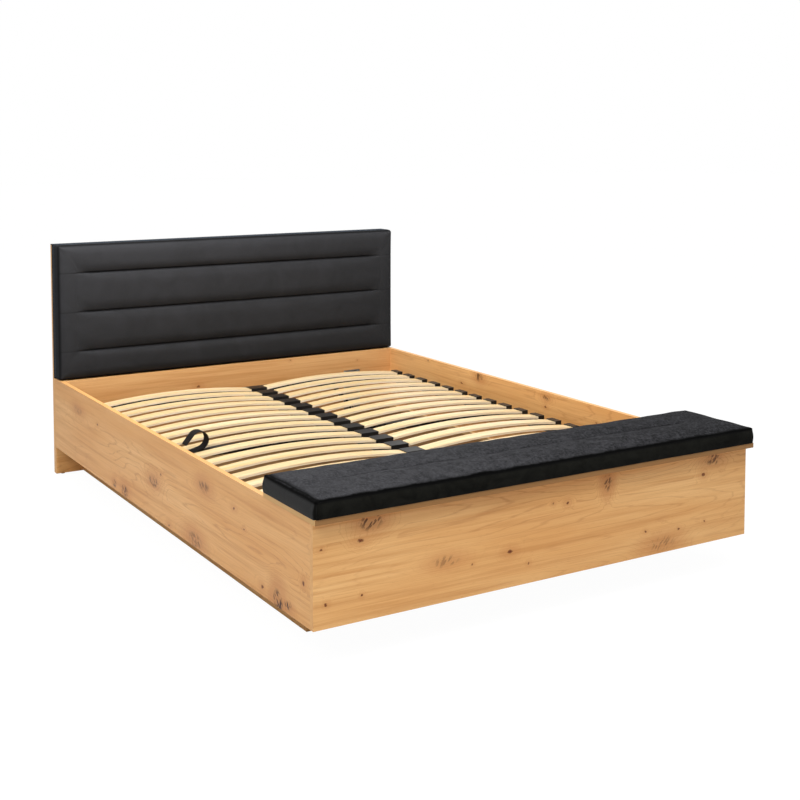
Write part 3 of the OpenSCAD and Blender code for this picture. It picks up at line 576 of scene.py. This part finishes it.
# %% Velvet over the front half of a board
def half_covered_board(name, bare_from, bare_below):
    """Velvet, and bare oak beyond bare_from along y and below bare_below along z, both in millimetres."""
    finish = velvet(name, **STRIP_LOOK)
    tree = finish.node_tree
    here = add(tree, "TexCoord").outputs["Object"]
    grain = stretched(tree, here, (250.0, 4.54545, 4.54545), Detail=4.0)
    oak = blend_colours(tree, grain, "#dcae74", "#b98246")
    bare = add(tree, "BsdfPrincipled", {"Roughness": 0.5}, {"Base Color": oak})
    spot = add(tree, "SeparateXYZ", {}, {0: here})
    behind = add(tree, "Math", {"operation": "GREATER_THAN", 1: mm(bare_from)}, {0: spot.outputs["Y"]})
    below = add(tree, "Math", {"operation": "LESS_THAN", 1: mm(bare_below)}, {0: spot.outputs["Z"]})
    share = add(tree, "Math", {"operation": "MULTIPLY"}, {0: behind, 1: below})
    both = add(tree, "MixShader", {}, {0: share, 1: tree.nodes["Principled BSDF"], 2: bare})
    feed(tree, tree.nodes["Material Output"], {}, {"Surface": both})
    return finish


BARE_FROM, BARE_BELOW = 1212, 997
pad_board_cover = half_covered_board("velvet_on_oak_board", BARE_FROM, BARE_BELOW)
print(pad_board_cover.name, "is bare beyond y =", BARE_FROM, "mm")

# %% [markdown]
# ## Webbing
# The pull strap is woven polypropylene webbing: lengthwise ribs 2 mm apart,
# crossed by the weft. Two waves, one along and one across, give that.

# %% Woven webbing
# a wave texture of scale 1 has about this many bands to the metre
WAVE_BANDS = math.pi


def woven_webbing(name, rib_gap, weft_gap):
    """Webbing with ribs and weft threads so many millimetres apart."""
    finish, tree, shader = new_finish(name)
    here = add(tree, "TexCoord").outputs["Object"]
    waves = []
    for direction, gap in (("Y", rib_gap), ("Z", weft_gap)):
        wave = {"bands_direction": direction, "Scale": 1 / mm(gap) / WAVE_BANDS}
        waves.append(add(tree, "TexWave", wave, {"Vector": here}).outputs["Fac"])
    woven = add(tree, "Math", {"operation": "MULTIPLY"}, {0: waves[0], 1: waves[1]})
    colour = blend_colours(tree, woven, "#0c0a09", "#1d1815")
    relief = add(tree, "Bump", {"Strength": 0.6, "Distance": mm(0.5)}, {"Height": woven})
    feed(tree, shader, {"Roughness": 0.8, "Specular IOR Level": 0.15},
        {"Base Color": colour, "Normal": relief})
    return finish


webbing = woven_webbing("woven_webbing", 2.2, 1.6)
print("all finishes:", len(bpy.data.materials))

# %% [markdown]
# ## Dress the solids
# Boards and hardware keep their exact solids. They get their finish, and a
# bevel of half a millimetre to two, because no real edge is perfectly sharp
# and the bevel is what catches the light.

# %% Give each solid its finish and its eased edges
def dress(finish, ease, names):
    for name in names:
        solid = solids[name]
        solid.data.materials.clear()
        solid.data.materials.append(finish)
        if ease:
            soft = solid.modifiers.new("eased", "BEVEL")
            soft.width, soft.segments, soft.limit_method = mm(ease), 2, "ANGLE"
            soft.angle_limit = math.radians(35)
            soft.harden_normals = True


for board, finish in decor.items():
    dress(finish, 0.8, [board])
dress(pad_board_cover, 2.5, ["pad_board"])
dress(floor_board, 0.0, ["floor_panel_left", "floor_panel_right"])
dress(strip_upright, 1.0, ["head_strips", "partition_strips"])
dress(strip_long, 1.0, ["floor_strips"])
dress(birch, 1.6, ["slats_left", "slats_right"])
dress(powder_coat, 1.5, ["rail_left", "rail_right", "rail_head", "rail_foot", "centre_beam", "cross_tubes"])
dress(powder_coat, 0.6, ["lift_arm_head", "lift_arm_foot", "gas_cylinder_head", "gas_cylinder_foot",
    "plate_stud_clips", "arm_stud_clips"])
dress(moulded_black, 2.4, ["end_holders_left", "end_holders_right", "centre_holders"])
dress(moulded_black, 0.6, ["tube_caps", "glides"])
dress(zinc_plate, 0.4, ["joining_plates", "joining_screws", "corner_brackets", "bracket_screws",
    "lift_plate_head", "lift_plate_foot", "lift_plate_screws", "frame_rests", "rest_screws", "strap_plate",
    "hinge_leaves_fixed", "hinge_pins", "hinge_screws_fixed", "hinge_leaves_lid", "hinge_screws_lid"])
dress(hard_chrome, 0.3, ["gas_rod_head", "gas_rod_foot"])
dress(black_rubber, 0.6, ["rest_pads"])
dress(pressed_felt, 0.5, ["lid_bumpers"])
dress(webbing, 0.0, ["pull_strap"])
for solid in solids.values():
    solid.data.shade_smooth()
    if "eased" not in solid.modifiers:
        solid.data.set_sharp_from_angle(angle=math.radians(30))
print("dressed:", len(solids))

# %% [markdown]
# ## Padded pieces
# The headboard's pad and the bench cushion are foam under a sewn cover. Both are
# built as a box of fabric: a grid for the top panel and strips for its sides,
# with one flat face under it at the end. The grid's rows lie close together at
# every seam, where the cover bends sharply, and further apart between them. A
# voxel remesh would lose the seams, so the rows are laid to measure at once.

# %% A box of fabric with rows close together at its seams
# a gap widens by this share of its distance from the nearest mark
GAP_GROWTH = 0.22


def spaced(marks, fine, coarse):
    """Places from the first mark to the last, fine apart at each mark and up to coarse apart between them."""
    places = [marks[0]]
    for start, end in zip(marks, marks[1:]):
        gaps = []
        while sum(gaps) < end - start:
            near = min(sum(gaps), end - start - sum(gaps))
            gaps.append(min(coarse, fine + GAP_GROWTH * near))
        for gap in gaps:
            places.append(places[-1] + gap * (end - start) / sum(gaps))
    return places


def fabric_box(name, across, along, rise, form, place):
    """Builds the box. Returns the piece and each point's flat place on the pattern."""
    points, faces, flat, known = [], [], [], {}

    def point(i, j, k):
        if (i, j, k) not in known:
            known[i, j, k] = len(points)
            flat.append((across[i], along[j], rise[k]))
            points.append(form(across[i], along[j], rise[k]))
        return known[i, j, k]

    last, far, top = len(across) - 1, len(along) - 1, len(rise) - 1
    for i in range(last):
        for j in range(far):
            square = ((i, j), (i + 1, j), (i + 1, j + 1), (i, j + 1))
            faces.append([point(*corner, top) for corner in square])
    rim = [(i, 0) for i in range(last)] + [(last, j) for j in range(far)]
    rim += [(i, far) for i in range(last, 0, -1)] + [(0, j) for j in range(far, 0, -1)]
    panel_faces = len(faces)
    for here, after in zip(rim, rim[1:] + rim[:1]):
        for k in range(top):
            faces.append([point(*here, k), point(*after, k), point(*after, k + 1), point(*here, k + 1)])
    mesh = bpy.data.meshes.new(name)
    mesh.from_pydata(points, [], faces)
    mesh.polygons.foreach_set("material_index", [int(n >= panel_faces) for n in range(len(faces))])
    piece = bpy.data.objects.new(name, mesh)
    piece.matrix_world = place
    stage.collection.objects.link(piece)
    print(name, "grid:", len(across), "by", len(along), "by", len(rise), "points:", len(points))
    return piece, flat


# %% [markdown]
# The cover is then blown up as cloth, which gives the tension of a stuffed cover:
# the seams stay where they are sewn and the fabric between them swells. Gravity
# is off, because the foam carries itself. No point may move further than a few
# millimetres, so that the pad keeps its size.

# %% Swell the cover as cloth
CLOTH_FRAMES = 20


def swell(piece, sewn, most):
    """Runs the cloth with the sewn points held, and limits the movement softly to most."""
    start = [vertex.co.copy() for vertex in piece.data.vertices]
    group = piece.vertex_groups.new(name="sewn")
    group.add(sewn, 1.0, "REPLACE")
    cloth = piece.modifiers.new("cloth", "CLOTH")
    cloth.settings.vertex_group_mass = group.name
    cloth.settings.use_pressure = True
    cloth.settings.uniform_pressure_force = 4.0
    cloth.settings.effector_weights.gravity = 0.0
    for moment in range(1, CLOTH_FRAMES + 1):
        stage.frame_set(moment)
    blown = piece.evaluated_get(bpy.context.evaluated_depsgraph_get()).data
    ends = [vertex.co.copy() for vertex in blown.vertices]
    piece.modifiers.remove(cloth)
    piece.vertex_groups.remove(group)
    furthest = 0.0
    for vertex, here, there in zip(piece.data.vertices, start, ends):
        move = there - here
        furthest = max(furthest, move.length)
        if move.length > 0:
            vertex.co = here + move * (most * math.tanh(move.length / most) / move.length)
    stage.frame_set(1)
    print(piece.name, "swelled, furthest", round(furthest * 1000, 1), "mm before the limit")


# %% [markdown]
# After that comes the sewing: each seam draws the cover in along a fine groove.
# The same rule also says how much painted shade each point gets in the seams'
# grooves, which the velvet reads as the attribute "seam".

# %% Sew the cover and close it underneath
def finish_cover(piece, flat, detail, finishes):
    """Moves each point along its normal by detail's first value, and keeps the second as its painted seam
    shade.
    """
    piece.data.update()
    normals = [vertex.normal.copy() for vertex in piece.data.vertices]
    seam = piece.data.attributes.new("seam", "FLOAT", "POINT")
    for vertex, spot, out, mark in zip(piece.data.vertices, flat, normals, seam.data):
        out_by, dark = detail(*spot)
        vertex.co += out * out_by
        mark.value = min(1.0, dark)
    for finish in finishes:
        piece.data.materials.append(finish)
    smooth = piece.modifiers.new("smooth", "SUBSURF")
    smooth.levels = smooth.render_levels = 1
    cover = bpy.data.meshes.new_from_object(piece.evaluated_get(bpy.context.evaluated_depsgraph_get()))
    piece.modifiers.clear()
    shape = bmesh.new()
    shape.from_mesh(cover)
    rim = [edge for edge in shape.edges if edge.is_boundary]
    bmesh.ops.edgeloop_fill(shape, edges=rim, mat_nr=len(finishes) - 1)
    bmesh.ops.recalc_face_normals(shape, faces=shape.faces)
    for face in shape.faces:
        face.smooth = True
    for edge in rim:
        edge.smooth = False
    shape.to_mesh(cover)
    holes = [edge for edge in shape.edges if edge.is_boundary]
    print(piece.name, "faces:", len(shape.faces), "open edges:", len(holes))
    shape.free()
    piece.data = cover


# %% Curves that the covers and their seams are drawn with
# points closer than this many metres count as one place
TOUCH = 1e-6


def dent(distance, width):
    """One at a seam, falling to nothing about twice its width away."""
    return math.exp(-(distance / width) ** 2)


def ease(low, high, value):
    """Rises softly from 0 at low to 1 at high."""
    t = min(1.0, max(0.0, (value - low) / (high - low)))
    return t * t * (3 - 2 * t)


def quarter_round(distance, reach):
    """Rises from 0 at an edge to 1 at reach, along a quarter circle."""
    t = min(1.0, max(0.0, distance / reach))
    return math.sqrt(t * (2 - t))


def round_corner(x, y, half_x, half_y, corner):
    """Draws a point near a panel's corner in to a quarter circle."""
    push = Vector((max(corner - (half_x - abs(x)), 0.0), max(corner - (half_y - abs(y)), 0.0)))
    if push.x > 0 and push.y > 0:
        round_off = max(push) / push.length
        x = math.copysign(half_x - corner + push.x * round_off, x)
        y = math.copysign(half_y - corner + push.y * round_off, y)
    return x, y


def quiet(x, y, z, size, seed):
    """A smooth random value from -1 to 1 that changes over size metres."""
    return noise.noise(Vector((x / size + seed, y / size, z / size)))


# %% [markdown]
# ## The headboard's pad
# Three long channels are sewn across the pad. Above each one the foam rolls over
# the seam, so the fold is sharp below and soft above. The channels stop short of
# the sides, where only a faint seam goes on. The front panel curls back to a seam
# that joins it to the strip round the pad.

# %% The pad's box, its curled front edge and its channels
pad_low, pad_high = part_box("headboard_pad")
PAD_WIDE, PAD_DEEP, PAD_TALL = [high - low for low, high in zip(pad_low, pad_high)]
PAD_CURL, PAD_CROWN, PAD_SWELL, PAD_FOLD = mm(15), mm(4), mm(5), mm(11)
PAD_STRIP = PAD_DEEP - PAD_CURL - PAD_CROWN - PAD_SWELL / 2
CHANNELS = [mm(c) for c in (-168, 0, 168)]
CHANNEL_END = PAD_WIDE / 2 - mm(73)


def channel_share(x):
    """One along a channel, falling to nothing past its end."""
    return 1 - ease(CHANNEL_END - mm(70), CHANNEL_END + mm(8), abs(x))


def pad_form(x, y, z):
    """The sewn cover before it swells: x across the bed, y up, z towards the foot."""
    in_x, in_y = PAD_WIDE / 2 - abs(x), PAD_TALL / 2 - abs(y)
    x, y = round_corner(x, y, PAD_WIDE / 2, PAD_TALL / 2, mm(9))
    if z < PAD_STRIP:
        belly = math.sin(math.pi * z / PAD_STRIP) * mm(1.5)
        x += math.copysign(belly, x) if in_x < TOUCH else 0.0
        y += math.copysign(belly, y) if in_y < TOUCH else 0.0
        return Vector((x, y, z))
    curl = PAD_CURL * quarter_round(min(in_x, in_y), mm(24))
    crown = PAD_CROWN * (1 - (2 * x / PAD_WIDE) ** 4) * (1 - (2 * y / PAD_TALL) ** 4)
    fold = 0.0
    for line in CHANNELS:
        above = y - line
        fold = max(fold, dent(above, mm(15) if above > 0 else mm(6)))
    return Vector((x, y, z + curl + crown - PAD_FOLD * fold * channel_share(x)))


print("pad:", round(PAD_WIDE, 3), "by", round(PAD_TALL, 3), "m, channels up to x =", round(CHANNEL_END, 3))

# %% Build, swell and sew the pad
pad_place = Matrix.Translation(((pad_low.x + pad_high.x) / 2, pad_high.y, (pad_low.z + pad_high.z) / 2)) \
    @ Matrix.Rotation(math.radians(90), 4, "X")
pad_columns = spaced([-PAD_WIDE / 2, -CHANNEL_END, CHANNEL_END, PAD_WIDE / 2], mm(2.5), mm(11))
pad_rows = spaced([-PAD_TALL / 2, *CHANNELS, PAD_TALL / 2], mm(2), mm(9))
headboard_cover, pad_flat = fabric_box("headboard_cover", pad_columns, pad_rows,
    spaced([0.0, PAD_STRIP], mm(2.5), mm(9)), pad_form, pad_place)


def pad_is_sewn(x, y, z):
    on_channel = min(abs(y - line) for line in CHANNELS) < TOUCH and abs(x) < CHANNEL_END
    at_edge = min(PAD_WIDE / 2 - abs(x), PAD_TALL / 2 - abs(y)) < TOUCH
    return z < TOUCH or z >= PAD_STRIP - TOUCH and (on_channel or at_edge)


swell(headboard_cover, [n for n, spot in enumerate(pad_flat) if pad_is_sewn(*spot)], PAD_SWELL)


def pad_seams(x, y, z):
    """The seams' fine grooves with their painted shade, and the faint unevenness of a hand-pulled cover."""
    in_x, in_y = PAD_WIDE / 2 - abs(x), PAD_TALL / 2 - abs(y)
    if z < PAD_STRIP - TOUCH:
        down = dent(PAD_STRIP - z, mm(3.5))
        # painted shade along the seam at the strip's top
        return -mm(2.4) * down + mm(0.5) * quiet(x, y, z, 0.09, 4.0), dent(PAD_STRIP - z, mm(2.5))
    near_edge = min(in_x, in_y)
    line = min(abs(y - c) for c in CHANNELS)
    deep = mm(5) * dent(line, mm(3.2)) * channel_share(x)
    faint = mm(0.9) * dent(line, mm(2.5)) * (1 - channel_share(x)) * ease(0, mm(6), near_edge)
    # pull lines fan out where a channel ends
    fan = dent(abs(x) - CHANNEL_END, mm(40)) * dent(line, mm(32)) * quiet(x, y * 5, z, 0.05, 9.0)
    uneven = mm(1.3) * quiet(x, y, z, 0.21, 2.0) + mm(0.5) * quiet(x, y * 1.6, z, 0.07, 5.0)
    # painted shade in the channels, faintly past their ends, and at the edge seam
    dark = 0.65 * dent(line, mm(3)) * channel_share(x) + 0.3 * dent(line, mm(2)) + dent(near_edge, mm(4.5))
    out_by = mm(1.1) * fan + uneven * ease(0, mm(25), near_edge)
    return out_by - mm(3.0) * dent(near_edge, mm(3.5)) - deep - faint, dark


finish_cover(headboard_cover, pad_flat, pad_seams, [pad_velvet, pad_strip])
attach(headboard_cover, "bed_box")
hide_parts("headboard_pad")

# %% [markdown]
# ## The bench cushion
# The cushion's top is short-pile velvet, and its sides are a smooth dark cloth.
# A crease runs along its middle, where the cover is sewn down to the foam. The
# left end shows a second stitched row beside the edge seam, and both wander,
# because the cover was pulled over the foam by hand. The seams, that row and the
# crease are painted darker, as painted shade in their grooves.

# %% The cushion's box, its crown and its wandering edge
seat_low, seat_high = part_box("seat_cushion")
SEAT_WIDE, SEAT_DEEP, SEAT_TALL = [high - low for low, high in zip(seat_low, seat_high)]
SEAT_CROWN, SEAT_SWELL = mm(7), mm(4)
SEAT_STRIP = SEAT_TALL - mm(10)
CREASE_END = SEAT_WIDE / 2 - mm(130)


def crease_share(x):
    """One along the crease, falling to nothing before its ends."""
    return 1 - ease(CREASE_END - mm(60), CREASE_END, abs(x))


def seat_form(x, y, z):
    """The cushion's cover before it swells: x across the bed, y to the headboard, z up."""
    in_x, in_y = SEAT_WIDE / 2 - abs(x), SEAT_DEEP / 2 - abs(y)
    x, y = round_corner(x, y, SEAT_WIDE / 2, SEAT_DEEP / 2, mm(7))
    up = min(1.0, z / SEAT_STRIP)
    wander = quiet(x, y, 0.0, 0.08, 3.0 if x < 0 else 8.0)
    if min(in_x, in_y) < mm(60):
        # the sides belly out half way up, and draw in between the corners at the seam
        share = ease(mm(60), 0, min(in_x, in_y))
        belly = math.sin(math.pi * (0.12 + 0.88 * up)) * mm(7) - up * mm(2) + up * wander * mm(2.5)
        if in_x < in_y:
            x += math.copysign(belly * share, x)
        else:
            y += math.copysign(belly * share * 0.7, y)
    if z < SEAT_STRIP - TOUCH:
        return Vector((x, y, z))
    curl = mm(4) * quarter_round(min(in_x, in_y), mm(26))
    wide_share, deep_share = min(1.0, abs(2 * x / SEAT_WIDE)), min(1.0, abs(2 * y / SEAT_DEEP))
    crown = SEAT_CROWN * ((1 - wide_share ** 8) * (1 - deep_share ** 3)) ** 0.7
    crease = dent(y - mm(6) * quiet(x, 0, 0, 0.4, 1.0), mm(11)) * crease_share(x)
    return Vector((x, y, z + curl + crown - mm(3.5) * crease + up * wander * mm(2)))


print("cushion:", round(SEAT_WIDE, 3), "by", round(SEAT_DEEP, 3), "by", round(SEAT_TALL, 3), "m")

# %% Build, swell and sew the cushion
seat_place = Matrix.Translation(((seat_low.x + seat_high.x) / 2, (seat_low.y + seat_high.y) / 2, seat_low.z))
seat_columns = spaced([-SEAT_WIDE / 2, SEAT_WIDE / 2], mm(2.5), mm(10))
seat_rows = spaced([-SEAT_DEEP / 2, 0.0, SEAT_DEEP / 2], mm(2.5), mm(8))
bench_cushion, seat_flat = fabric_box("bench_cushion", seat_columns, seat_rows,
    spaced([0.0, SEAT_STRIP], mm(2.5), mm(7)), seat_form, seat_place)


def seat_is_sewn(x, y, z):
    on_crease = abs(y) < TOUCH and abs(x) < CREASE_END
    at_edge = min(SEAT_WIDE / 2 - abs(x), SEAT_DEEP / 2 - abs(y)) < TOUCH
    return z < TOUCH or z >= SEAT_STRIP - TOUCH and (on_crease or at_edge)


swell(bench_cushion, [n for n, spot in enumerate(seat_flat) if seat_is_sewn(*spot)], SEAT_SWELL)


def seat_seams(x, y, z):
    """The edge seam, the second stitched row at the left end and the cover's small waves, with painted shade
    along the seams and the crease.
    """
    in_x, in_y = SEAT_WIDE / 2 - abs(x), SEAT_DEEP / 2 - abs(y)
    if z < SEAT_STRIP - TOUCH:
        down, corner = dent(SEAT_STRIP - z, mm(3.2)), dent(max(in_x, in_y), mm(4))
        out_by = mm(0.6) * quiet(x, y, z, 0.11, 6.0) - mm(2.2) * down - mm(1.2) * corner
        # painted shade along the strip's top seam and at its corners
        return out_by, 1.3 * dent(SEAT_STRIP - z, mm(5)) + 0.7 * corner
    near_edge = min(in_x, in_y)
    wander = mm(4) * quiet(x, y, 0.0, 0.09, 7.0)
    second = dent(in_x - mm(15) - wander, mm(4.5)) * (1.0 if x < 0 else 0.35)
    crease = dent(y - mm(4) * quiet(x, 0, 0, 0.12, 1.0), mm(4)) * crease_share(x)
    waves = mm(1.2) * quiet(x, y, z, 0.13, 2.5) + mm(0.6) * quiet(x, y, z, 0.05, 5.5)
    ragged = near_edge - mm(4.5) * quiet(x, y, z, 0.01, 1.5) - mm(2)
    # painted shade along the ragged front seam, the second row and the crease
    dark = 1.5 * dent(ragged, mm(8)) + 1.1 * second + 0.3 * crease
    out_by = waves * ease(0, mm(20), near_edge)
    return out_by - mm(2.6) * dent(near_edge, mm(3.5)) - mm(1.6) * second - mm(0.9) * crease, dark


finish_cover(bench_cushion, seat_flat, seat_seams, [seat_velvet, side_cloth])
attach(bench_cushion, "bench_lid")
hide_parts("seat_cushion")

# %% [markdown]
# ## Studio
# A pale floor and a white surround. The sky gives an even base, a large soft lamp
# from the upper left models the forms, and one over the foot shades the front
# panel under the bench lid. Two weak ones lift the slats and the headboard's top.
# The floor glows for camera rays alone, and the world is at full strength only
# for the camera and in reflections, so the surround looks white and still adds
# little light to the bed.

# %% Floor
FLOOR = 30
floor_mesh = bpy.data.meshes.new("studio_floor")
corners = [(-FLOOR, -FLOOR, 0), (FLOOR, -FLOOR, 0), (FLOOR, FLOOR, 0), (-FLOOR, FLOOR, 0)]
floor_mesh.from_pydata(corners, [], [(0, 1, 2, 3)])
studio_floor = bpy.data.objects.new("studio_floor", floor_mesh)
stage.collection.objects.link(studio_floor)
floor_finish, tree, shader = new_finish("studio_floor")
feed(tree, shader, {"Base Color": paint("#c4c4c4"), "Roughness": 0.9})
rays = add(tree, "LightPath")
glow = add(tree, "Emission", {"Color": (1, 1, 1, 1), "Strength": 1.08})
share = add(tree, "Math", {"operation": "MULTIPLY", 1: 0.9}, {0: rays.outputs["Is Camera Ray"]})
floor_mix = add(tree, "MixShader", {}, {0: share, 1: shader, 2: glow})
feed(tree, tree.nodes["Material Output"], {}, {"Surface": floor_mix})
floor_mesh.materials.append(floor_finish)
print("floor:", 2 * FLOOR, "m square")

# %% A white surround that lights the bed only softly
world = bpy.data.worlds.new("studio")
stage.world = world
world.use_nodes = True
tree = world.node_tree
rays = add(tree, "LightPath").outputs
seen = add(tree, "Math", {"operation": "MAXIMUM"}, {0: rays["Is Camera Ray"], 1: rays["Is Glossy Ray"]})
seen = add(tree, "Math", {"operation": "MAXIMUM"}, {0: seen, 1: rays["Is Transmission Ray"]})
SKY_STRENGTH = 0.43
level = add(tree, "MapRange", {"To Min": SKY_STRENGTH, "To Max": 1.0}, {"Value": seen})
feed(tree, tree.nodes["Background"], {"Color": (1, 1, 1, 1)}, {"Strength": level})
print("sky's strength:", SKY_STRENGTH)

# %% Round soft lamps
def soft_lamp(name, place, aim, size, power):
    """A lamp of a size in metres and a power in watts, turned towards its aim."""
    light = bpy.data.lights.new(name, "AREA")
    light.shape, light.size, light.energy = "DISK", size, power
    lamp = bpy.data.objects.new(name, light)
    lamp.location = place
    lamp.rotation_euler = (Vector(aim) - Vector(place)).to_track_quat("-Z", "Y").to_euler()
    lamp.visible_camera = False
    stage.collection.objects.link(lamp)


soft_lamp("key_softbox", (-5.2, -4.2, 5.0), (0, 0, 0.3), 3.5, 240)
soft_lamp("foot_softbox", (-0.5, -2.6, 4.6), (0, -0.6, 0.3), 2.2, 150)
soft_lamp("top_softbox", (0.2, 0.3, 3.2), (0, 0.3, 0.3), 1.8, 46)
soft_lamp("head_softbox", (-0.9, 0.55, 2.1), (-0.4, 1.1, 1.0), 0.9, 22)
print("lamps:", len(bpy.data.lights))
